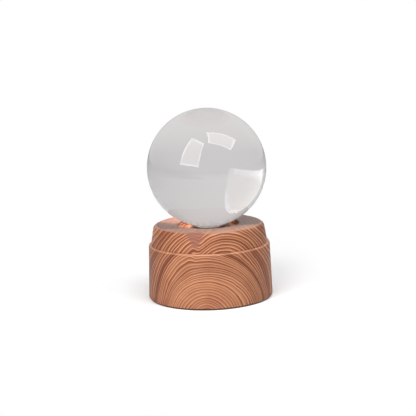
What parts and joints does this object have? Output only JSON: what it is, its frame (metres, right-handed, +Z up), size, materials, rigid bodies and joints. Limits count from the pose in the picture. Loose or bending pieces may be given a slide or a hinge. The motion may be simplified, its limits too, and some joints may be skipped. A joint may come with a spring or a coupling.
{
  "type": "crystal ball lamp",
  "caption": "Table lamp with a clear glass ball resting on a two-tier turned wooden base that lights it from below, with a push switch at the back and a twist-off battery cover.",
  "frame": {"origin": "centre of the foot pad's underside, on the surface that the lamp stands on", "axes": "+Z up through the ball's centre; the front faces -Y and the push switch is at the back on +Y"},
  "size_m": [0.0844, 0.0844, 0.1278],
  "materials": {
    "clear_glass": "polished clear glass",
    "soft_ring": "soft matt silicone, brown",
    "tier_wood": "turned wood with growth rings, satin",
    "drum_wood": "turned wood with growth rings, satin",
    "foot_foam": "matt foam",
    "white_moulding": "moulded, satin",
    "frosted_window": "frosted",
    "board_laminate": "white solder mask",
    "chip_yellow": "moulded with a yellow dish",
    "chip_black": "matt",
    "plated_steel": "zinc plated",
    "black_moulding": "fine moulded grain",
    "cell_jacket": "plain printed jacket, bare ends",
    "nickel_plate": "nickel plated",
    "switch_black": "moulded",
    "button_black": "moulded",
    "terminal_brass": "tinned",
    "red_lead": "insulated lead",
    "white_lead": "insulated lead",
    "black_lead": "insulated lead"
  },
  "bodies": {
    "base": {"seat_ring": "soft_ring", "upper_tier": "tier_wood", "lower_drum": "drum_wood", "foot_pad": "foot_foam", "lamp_holder": "white_moulding", "light_window": "frosted_window", "light_board": "board_laminate", "light_emitters": "chip_yellow", "board_resistors": "chip_black", "board_screws": "plated_steel", "holder_screws": "plated_steel", "tier_screws": "plated_steel", "bottom_tray": "black_moulding", "tray_screws": "plated_steel", "front_cell": "cell_jacket", "middle_cell": "cell_jacket", "back_cell": "cell_jacket", "minus_contact": "nickel_plate", "plus_contact": "nickel_plate", "front_link": "nickel_plate", "back_link": "nickel_plate", "cell_springs": "nickel_plate", "switch_body": "switch_black", "switch_nut": "plated_steel", "switch_terminals": "terminal_brass", "plus_lead": "red_lead", "lamp_lead": "white_lead", "minus_lead": "black_lead"},
    "ball": {"crystal_ball": "clear_glass"},
    "cover": {"battery_cover": "black_moulding"},
    "button": {"switch_button": "button_black"}
  },
  "joints": [
    {"name": "ball_lift", "type": "slide", "parent": "base", "child": "ball", "axis": [0, 0, 1], "range_m": [0, 0.06]},
    {"name": "cover_twist", "type": "hinge", "parent": "base", "child": "cover", "pos_m": [0, 0, 0.003], "axis": [0, 0, -1], "range_deg": [0, 30]},
    {"name": "button_push", "type": "slide", "parent": "base", "child": "button", "axis": [0, -1, 0], "range_m": [0, 0.002], "stiffness_N_per_m": 500, "springref_m": -0.001}
  ]
}
